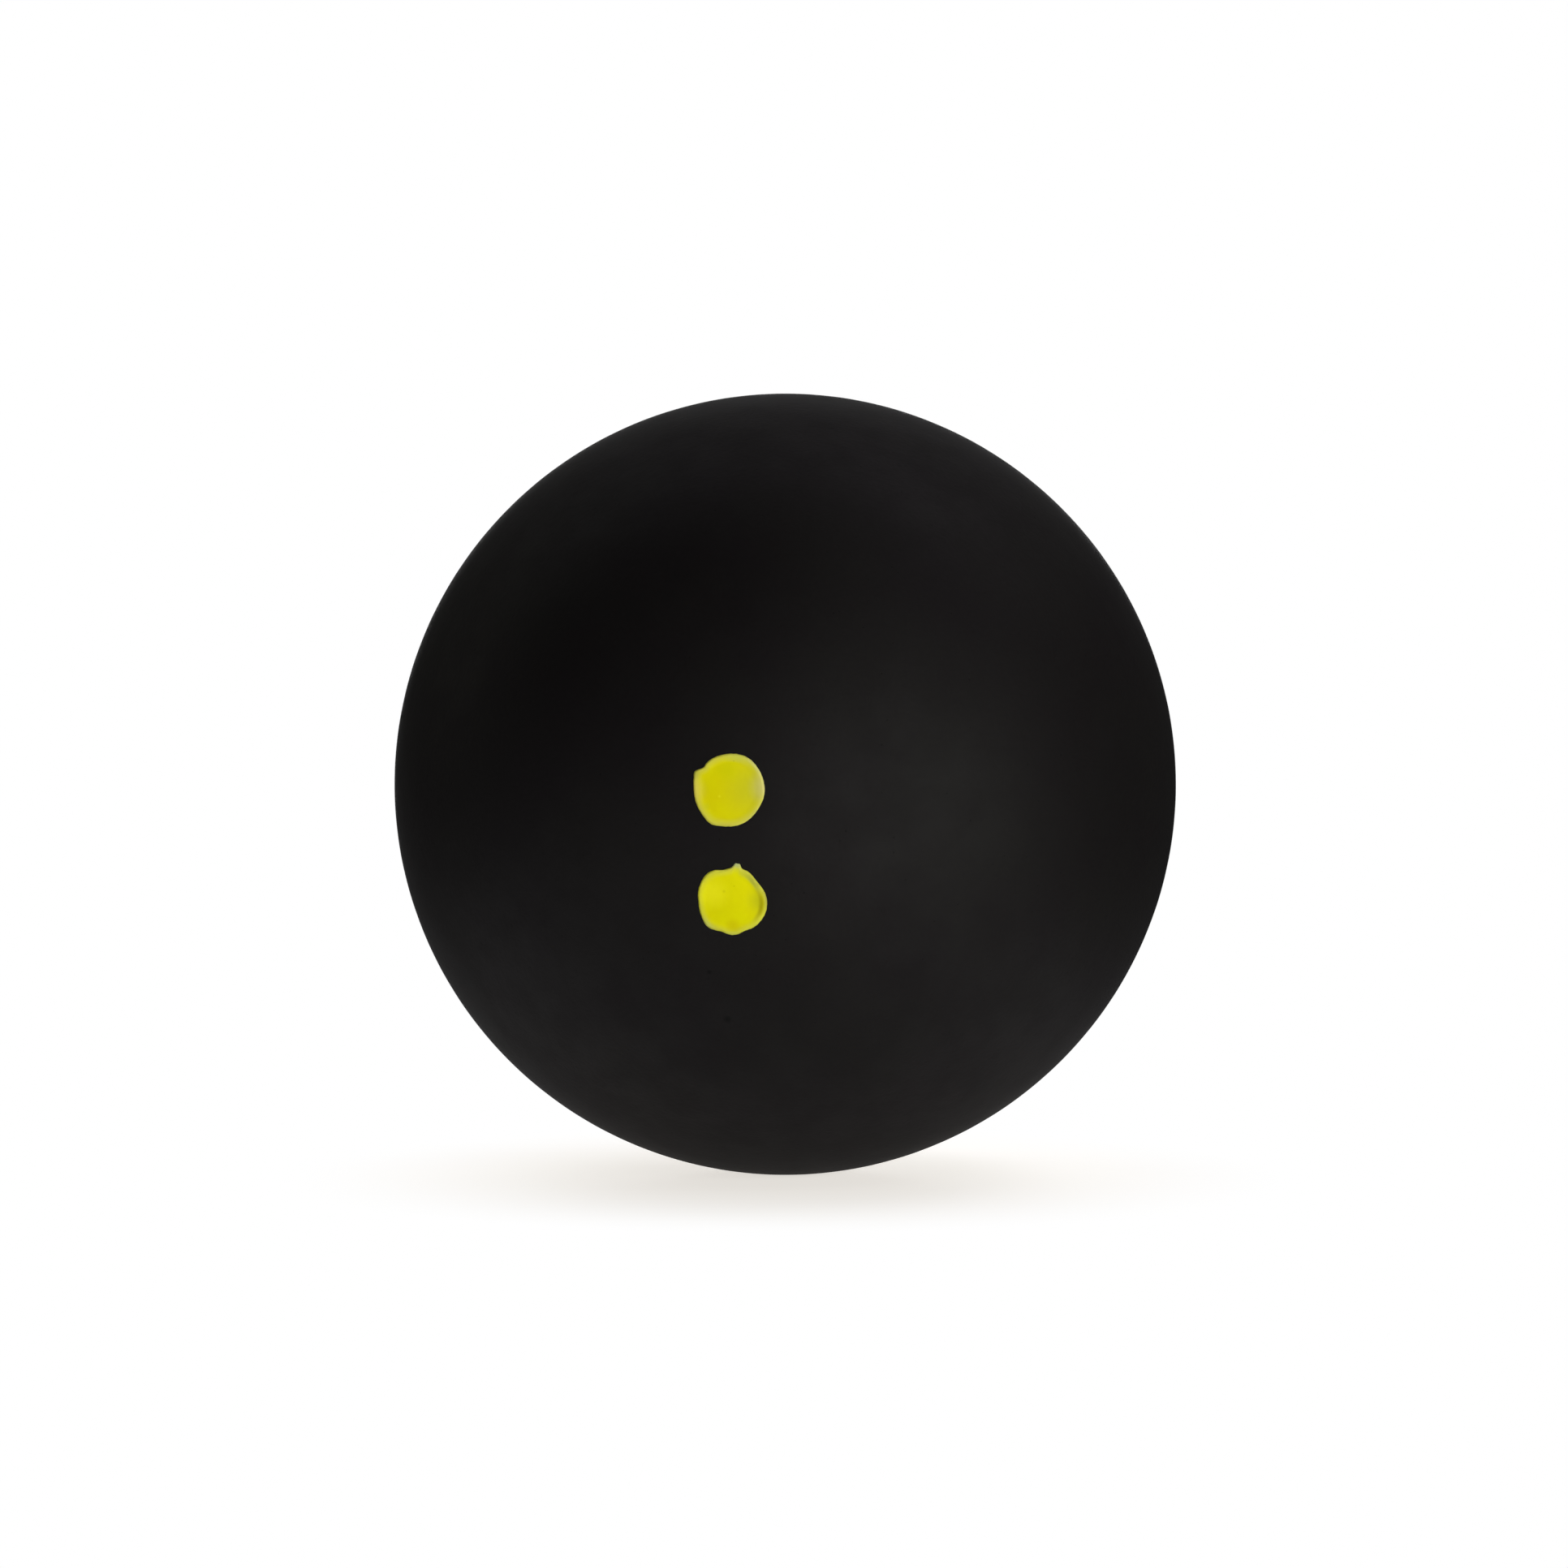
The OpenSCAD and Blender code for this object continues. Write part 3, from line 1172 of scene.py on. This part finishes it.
@dataclass
class PrintedDot:
    """One printed dot: a ragged patch of thick ink with a fat edge, wrapped on the ball.

    Attributes:
        node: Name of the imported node, and of the piece.
        sizes: The ball's sizes.
        dot_r: Radius of the dot.
        drop: How far its centre lies below the ball's front, in degrees.
        lobes: The lobes, flats and spurs of its edge.
        turn: How far it is turned to the left of the ball's front, in degrees.
        ink_t: Thickness of the ink.
        rim_w: Width of the fat edge.
        rim_rise: How far the fat edge stands above the rest.
        crest_share: How far in from the outline the fat edge is highest, as a share of its width.
        dome_share: How far the dot's middle swells, as a share of the fat edge's rise.
        skirt: How far the ink's underside lies below the ball's surface.
        calm_share: Share of the outline's raggedness that the middle's rings keep.
        calm_r: How far out the full raggedness starts to show, as a share of the dot's radius.
        nibble: Depth of the fine nibbles in the outline, as a share of the dot's radius.
        nibble_turns: How often they change round the outline.
        ripple_h: Height of the fine ripples of the ink.
        ripple_l: Length of those ripples.
        points: Points round the dot.
        rings: Rings from its edge to its middle.
        under_rings: The same on its underside.
        crowding: How much the rings crowd at the edge, where 1 is not at all.
    """

    node: str
    sizes: BallSizes
    dot_r: float
    drop: float
    lobes: tuple[Lobe, ...]
    turn: float = 7.5
    ink_t: float = 0.06 * MM
    rim_w: float = 0.3 * MM
    rim_rise: float = 0.03 * MM
    crest_share: float = 0.4
    dome_share: float = 0.25
    skirt: float = 0.01 * MM
    calm_share: float = 0.25
    calm_r: float = 0.55
    nibble: float = 0.008
    nibble_turns: float = 14.0
    ripple_h: float = 0.004 * MM
    ripple_l: float = 0.28 * MM
    points: int = 240
    rings: int = 36
    under_rings: int = 6
    crowding: float = 1.5

    def build(self, ink: Material) -> None:
        """Builds the dot and puts it in the scene.

        Args:
            ink: Its material.
        """
        mesh = bmesh.new()
        share_layer = mesh.verts.layers.float.new(EDGE_SHARE)
        bmesh.ops.create_circle(mesh, segments=self.points, radius=self.dot_r)
        outline = list(mesh.edges)
        self._place_ring(list(mesh.verts), 1.0, False, share_layer)
        for is_top, count in ((True, self.rings), (False, self.under_rings)):
            ring = outline
            for step in range(1, count + 1):
                ring, verts = new_ring(mesh, ring)
                self._place_ring(verts, 1.0 - (step / count) ** self.crowding, is_top, share_layer)
            middle = Vector((0.0, 0.0, self._ink_height(self.dot_r) if is_top else -self.skirt))
            bmesh.ops.pointmerge(mesh, verts=verts, merge_co=middle)
        for vert in mesh.verts:
            vert.co = self._wrapped(vert.co)
        finish_faces(mesh)
        finish_piece(mesh, "printed_" + self.node, [ink], self.node)

    def _place_ring(self, verts: list[BMVert], share: float, is_top: bool, layer: BMLayerItem) -> None:
        """Moves a ring's vertices to a share of the ragged outline, flat on the printing plane.

        Args:
            verts: The ring's vertices.
            share: How far out the ring lies, from 0 to 1 at the outline.
            is_top: Whether the ring lies on the ink's upper face.
            layer: Layer of the mesh that keeps that share.
        """
        ragged = self.calm_share + (1.0 - self.calm_share) * smooth_step(self.calm_r, 1.0, share)
        shift = Vector((self.drop, 0.0, 0.0))
        for vert in verts:
            angle = math.atan2(vert.co.y, vert.co.x)
            direction = math.degrees(angle)
            edge = 1.0 + sum(lobe.height(direction) for lobe in self.lobes) * ragged
            along = Vector((math.cos(angle), math.sin(angle), 0.0))
            bite = noise.noise(along * self.nibble_turns + shift) * self.nibble * ragged
            place = along * self.dot_r * share * (edge + bite)
            height = -self.skirt
            if is_top:
                height = self._ink_height(self.dot_r * (1.0 - share))
                height += self.ripple_h * noise.noise(place / self.ripple_l) * smooth_step(1.0, 0.9, share)
            vert.co = Vector((place.x, place.y, height))
            vert[layer] = share

    def _ink_height(self, inset: float) -> float:
        """Works out the height of the ink above the ball's surface.

        Args:
            inset: Distance inwards from the dot's outline.

        Returns:
            The height.
        """
        crest = self.crest_share * self.rim_w
        foot = 2.0 * self.rim_w - crest
        full = self.ink_t + self.rim_rise
        if inset < crest:
            return full * math.sqrt(1.0 - (1.0 - inset / crest) ** 2)
        fall = smooth_step(crest, foot, inset)
        dome = self.dome_share * self.rim_rise * smooth_step(foot, self.dot_r, inset)
        return full - self.rim_rise * fall + dome

    def _wrapped(self, flat: Vector) -> Vector:
        """Carries a point from the printing plane to its place on the ball.

        Args:
            flat: Distance to the right, distance up and height above the ball.

        Returns:
            The point in the ball's frame.
        """
        ball_r = self.sizes.ball_r
        ahead = math.sqrt(ball_r**2 - flat.x**2 - flat.y**2)
        on_front = Vector((flat.x, -ahead, flat.y)) * (1.0 + flat.z / ball_r)
        lowered = Matrix.Rotation(math.radians(self.drop), 3, "X") @ on_front
        return Matrix.Rotation(math.radians(-self.turn), 3, "Z") @ lowered


@dataclass
class DotPair:
    """The two printed dots, one above the other, each with its own ink.

    Attributes:
        sizes: The ball's sizes.
        upper_r: Radius of the upper dot.
        lower_r: Radius of the lower dot.
        upper_drop: How far the upper dot's centre lies below the ball's front, in degrees.
        pitch: Distance between the dots' centres, along the ball's surface.
    """

    sizes: BallSizes
    upper_r: float = 1.67 * MM
    lower_r: float = 1.63 * MM
    upper_drop: float = 0.8
    pitch: float = 5.2 * MM

    def build(self) -> None:
        """Builds the dots and puts them in the scene."""
        lower_drop = self.upper_drop + math.degrees(self.pitch / self.sizes.ball_r)
        upper = PrintedDot("upper_dot", self.sizes, self.upper_r, self.upper_drop, UPPER_LOBES)
        lower = PrintedDot("lower_dot", self.sizes, self.lower_r, lower_drop, LOWER_LOBES)
        for dot, ink in ((upper, UPPER_INK), (lower, LOWER_INK)):
            dot.build(ink.make(self.sizes.ball_r))


@dataclass(frozen=True)
class Softbox:
    """A soft lamp that faces the ball, or lies flat and shines up.

    Attributes:
        name: Name of the lamp.
        turn: Its direction from the ball, in degrees to the right of the ball's front.
        rise: Its height above the horizon, in degrees.
        distance: Its distance from the ball's centre.
        width: Width of its face.
        height: Height of its face.
        power: Its power, in watts.
        colour: Colour of its light.
        lies_flat: Whether it lies flat, its width across its direction.
    """

    name: str
    turn: float
    rise: float
    distance: float
    width: float
    height: float
    power: float
    colour: Colour = WHITE
    lies_flat: bool = False

    def hang(self) -> None:
        """Hangs the lamp in the scene."""
        data = bpy.data.lights.new(self.name, "AREA")
        data.shape = "RECTANGLE"
        data.size = self.width
        data.size_y = self.height
        data.energy = self.power
        data.color = self.colour
        lamp = new_object(self.name, data)
        outwards = heading(self.turn, self.rise)
        lamp.location = outwards * self.distance
        if self.lies_flat:
            lamp.rotation_euler = (math.pi, 0.0, math.radians(self.turn))
        else:
            lamp.rotation_euler = (-outwards).to_track_quat("-Z", "Y").to_euler()
        lamp.visible_camera = False


@dataclass(frozen=True)
class BlackFlag:
    """A folded black card that stands beside the ball and keeps one side of its outline dark.

    Attributes:
        name: Name of the flag.
        turn: Its direction from the ball, in degrees to the right of the ball's front.
        distance: Its distance from the ball's centre.
        width: Width of the flag.
        height: Height of the part that stands.
        foot: Length of the part that lies on the floor, on the ball's side.
        lift: Height of that part above the floor.
    """

    name: str
    turn: float
    distance: float
    width: float
    height: float
    foot: float
    lift: float = 0.3 * MM

    def make_mesh(self, floor_z: float) -> BMesh:
        """Makes the flag's mesh.

        Args:
            floor_z: Height of the floor on which the flag stands.

        Returns:
            The mesh, in place.
        """
        mesh = bmesh.new()
        bmesh.ops.create_grid(mesh, x_segments=6, y_segments=4, size=0.5)
        bmesh.ops.scale(mesh, verts=mesh.verts, vec=(self.width, self.height, 1.0))
        bmesh.ops.rotate(mesh, verts=mesh.verts, matrix=Matrix.Rotation(math.pi / 2, 3, "X"))
        middle = floor_z + self.lift + self.height / 2
        bmesh.ops.translate(mesh, verts=mesh.verts, vec=(0.0, -self.distance, middle))
        # A little above the lower edge, so that only that edge is folded
        above_fold = middle - 0.49 * self.height
        fold = [edge for edge in mesh.edges if max(vert.co.z for vert in edge.verts) < above_fold]
        foot_verts = new_ring(mesh, fold)[1]
        bmesh.ops.translate(mesh, verts=foot_verts, vec=(0.0, self.foot, 0.0))
        bmesh.ops.rotate(mesh, verts=mesh.verts, matrix=Matrix.Rotation(math.radians(self.turn), 3, "Z"))
        return mesh


@dataclass
class Studio:
    """The plain pale studio: floor, soft lamps, dark tent and white background.

    Attributes:
        floor_z: Height of the floor.
        floor_r: Radius of the floor.
        floor_pale: Colour of the floor as it lights the ball.
        floor_grey: Colour of the floor as it is seen, which takes the shadow.
        floor_glow: Colour of the light that lifts the seen floor to white.
        glow: Strength of that light.
        shadow_from: Distance from the ball's centre at which the floor's shadow starts to fade.
        shadow_to: Distance at which it is gone.
        tent_r: Radius of the dark tent.
        tent_gap: Half angle of the tent's opening behind the ball, in radians.
        tent_dark: Colour of its cloth.
        ambient: Strength of the world's light on what the tent doesn't shade.
        flags: The black flags.
        lamps: The lamps.
    """

    floor_z: float
    floor_r: float = 3.0
    floor_pale: Colour = (0.80, 0.79, 0.77)
    floor_grey: Colour = (0.7, 0.7, 0.7)
    floor_glow: Colour = (1.0, 0.96, 0.90)
    glow: float = 0.7
    shadow_from: float = 0.020
    shadow_to: float = 0.033
    tent_r: float = 0.75
    tent_gap: float = 0.16
    tent_dark: Colour = (0.03, 0.03, 0.03)
    ambient: float = 0.3
    # Name, turn, distance, width, height and foot of each flag
    flags: tuple[BlackFlag, ...] = (
        BlackFlag("right_flag", 104.0, 0.042, 0.09, 0.040, 0.009),
        BlackFlag("left_flag", -112.0, 0.085, 0.09, 0.035, 0.035),
    )
    # Name, turn, rise, distance, width, height and power of each lamp
    lamps: tuple[Softbox, ...] = (
        Softbox("key", 32.0, 6.0, 0.45, 0.30, 0.13, 0.99),
        Softbox("front_top", 30.0, 38.0, 0.50, 0.30, 0.14, 0.13),
        Softbox("floor_fill", 29.0, -14.6, 0.0775, 0.070, 0.035, 0.052, (0.98, 1.06, 0.90), lies_flat=True),
        Softbox("right_top_back", 112.0, 56.0, 0.50, 0.30, 0.22, 0.38, (1.0, 0.96, 1.0)),
        Softbox("top_back", 172.0, 58.0, 0.50, 0.34, 0.20, 0.23, (1.0, 0.96, 1.0)),
        Softbox("steep_back", 176.0, 30.0, 0.50, 0.34, 0.12, 0.315),
        Softbox("left_top_back", -136.0, 48.0, 0.50, 0.24, 0.24, 0.18),
        Softbox("left_back", -124.0, 10.0, 0.50, 0.20, 0.20, 0.188, (1.0, 0.98, 0.84)),
        Softbox("back", 180.0, 7.0, 0.45, 0.26, 0.12, 1.6),
    )

    def build(self) -> None:
        """Puts the studio in the scene."""
        self._floor()
        cloth = self._dark_cloth()
        self._put_stage(self._tent(), "dark_tent", cloth, is_seen=False)
        for flag in self.flags:
            self._put_stage(flag.make_mesh(self.floor_z), flag.name, cloth, is_seen=False)
        for lamp in self.lamps:
            lamp.hang()
        self._background()

    @staticmethod
    def _sees_background(sketch: NodeSketch) -> NodeSocket:
        """Tells the rays that see the background from those that light the ball.

        Args:
            sketch: Sketch of the material or world that asks.

        Returns:
            1 for camera, glossy and transmission rays, and else 0.
        """
        path = sketch.add("ShaderNodeLightPath").outputs
        gloss = sketch.math("MAXIMUM", path["Is Glossy Ray"], path["Is Transmission Ray"])
        return sketch.math("MAXIMUM", path["Is Camera Ray"], gloss)

    @staticmethod
    def _put_stage(mesh: BMesh, name: str, material: Material, is_seen: bool) -> None:
        """Args:
            mesh: Mesh in place. It is freed here.
            name: Name of the object.
            material: Its material.
            is_seen: Whether the camera sees it.
        """
        stage = new_mesh_object(mesh, name, [material])
        stage.visible_camera = is_seen

    def _floor(self) -> None:
        """Lays the pale floor, which keeps the ball's shadow and is plain white further out."""
        mesh = bmesh.new()
        bmesh.ops.create_circle(mesh, cap_ends=True, segments=96, radius=self.floor_r)
        bmesh.ops.translate(mesh, verts=mesh.verts, vec=(0.0, 0.0, self.floor_z))
        sketch = MaterialSketch("pale_floor")
        pale = sketch.result("ShaderNodeBsdfDiffuse", {"Color": (*self.floor_pale, 1.0)})
        grey = sketch.result("ShaderNodeBsdfDiffuse", {"Color": (*self.floor_grey, 1.0)})
        lift = sketch.result("ShaderNodeEmission", {"Color": (*self.floor_glow, 1.0), "Strength": self.glow})
        white = sketch.result("ShaderNodeEmission", {"Strength": 1.0})
        near = sketch.result("ShaderNodeAddShader", {0: grey, 1: lift})
        away = sketch.vector_math("LENGTH", sketch.place).outputs["Value"]
        far = sketch.remap(away, self.shadow_from, self.shadow_to, 0.0, 1.0)
        seen = sketch.result("ShaderNodeMixShader", {0: far, 1: near, 2: white})
        both = sketch.result("ShaderNodeMixShader", {0: self._sees_background(sketch), 1: pale, 2: seen})
        self._put_stage(mesh, "floor", sketch.shade(both), is_seen=True)

    def _dark_cloth(self) -> Material:
        """Makes the black cloth of the tent and the flags."""
        sketch = MaterialSketch("dark_cloth")
        return sketch.shade(sketch.result("ShaderNodeBsdfDiffuse", {"Color": (*self.tent_dark, 1.0)}))

    def _tent(self) -> BMesh:
        """Makes the dark tent round the lamps, open at the back, so that the ball's sides stay dark.

        The camera doesn't see it, but looks through it to the white background.

        Returns:
            The tent's mesh, in place.
        """
        mesh = bmesh.new()
        bmesh.ops.create_uvsphere(mesh, u_segments=64, v_segments=32, radius=self.tent_r)
        gap = Vector((0.0, self.tent_r * math.cos(self.tent_gap), 0.0))
        floor = Vector((0.0, 0.0, self.floor_z))
        for place, outwards in ((gap, (0.0, 1.0, 0.0)), (floor, (0.0, 0.0, -1.0))):
            every = mesh.verts[:] + mesh.edges[:] + mesh.faces[:]
            bmesh.ops.bisect_plane(mesh, geom=every, plane_co=place, plane_no=outwards, clear_outer=True)
        return mesh

    def _background(self) -> None:
        """Makes the world white to the rays that see it, and a dim even light to the others."""
        world = bpy.data.worlds.new("studio")
        bpy.context.scene.world = world
        sketch = NodeSketch(fresh_tree(world))
        strength = sketch.remap(self._sees_background(sketch), 0.0, 1.0, self.ambient, 1.0)
        shell = sketch.result("ShaderNodeBackground", {"Color": (*WHITE, 1.0), "Strength": strength})
        sketch.add("ShaderNodeOutputWorld", {"Surface": shell})


@dataclass
class PhotoCamera:
    """The camera, straight in front of the ball as in the photograph.

    Attributes:
        ball_r: Radius of the ball.
        distance: Distance from the ball's centre.
        frame_px: Width and height of the photograph, in pixels.
        outline_px: Radius of the ball's outline in it.
        centre_px: Where the ball's centre lies in it.
        sensor_mm: Width of the sensor.
        nearest: Distance from which the camera sees.
        farthest: Distance up to which it sees.
    """

    ball_r: float
    distance: float = 0.19
    frame_px: float = 1932.0
    outline_px: float = 481.4
    centre_px: tuple[float, float] = (967.5, 966.3)
    sensor_mm: float = 36.0
    nearest: float = 0.01
    farthest: float = 50.0

    def place(self) -> None:
        """Puts the camera in the scene and makes it the scene's own."""
        focal_px = self.outline_px / math.tan(math.asin(self.ball_r / self.distance))
        metres_per_px = self.distance / focal_px
        data = bpy.data.cameras.new("photo_camera")
        data.sensor_width = self.sensor_mm
        data.lens = focal_px / self.frame_px * self.sensor_mm
        data.clip_start = self.nearest
        data.clip_end = self.farthest
        camera = new_object("photo_camera", data)
        right = (self.frame_px / 2 - self.centre_px[0]) * metres_per_px
        up = (self.centre_px[1] - self.frame_px / 2) * metres_per_px
        camera.location = (right, -self.distance, up)
        camera.rotation_euler = (math.pi / 2, 0.0, 0.0)
        bpy.context.scene.camera = camera


def main() -> None:
    """Builds the ball, its studio and its camera, and reports each piece."""
    logging.basicConfig(level=logging.INFO, format="%(name)s: %(message)s")
    sizes = BallSizes.from_frame()
    ground = GroundRubber().make(sizes.ball_r)
    buffed = BuffedRubber().make()
    moulded = MouldedRubber().make()
    for half in Half:
        RubberShell(half, sizes).build(ground, buffed, moulded)
    SeamFilm(sizes).build(CuredSolution().make())
    DotPair(sizes).build()
    Studio(floor_z=-sizes.ball_r).build()
    PhotoCamera(ball_r=sizes.ball_r).place()
    bpy.context.scene.view_settings.view_transform = "Standard"


if __name__ == "__main__":
    main()
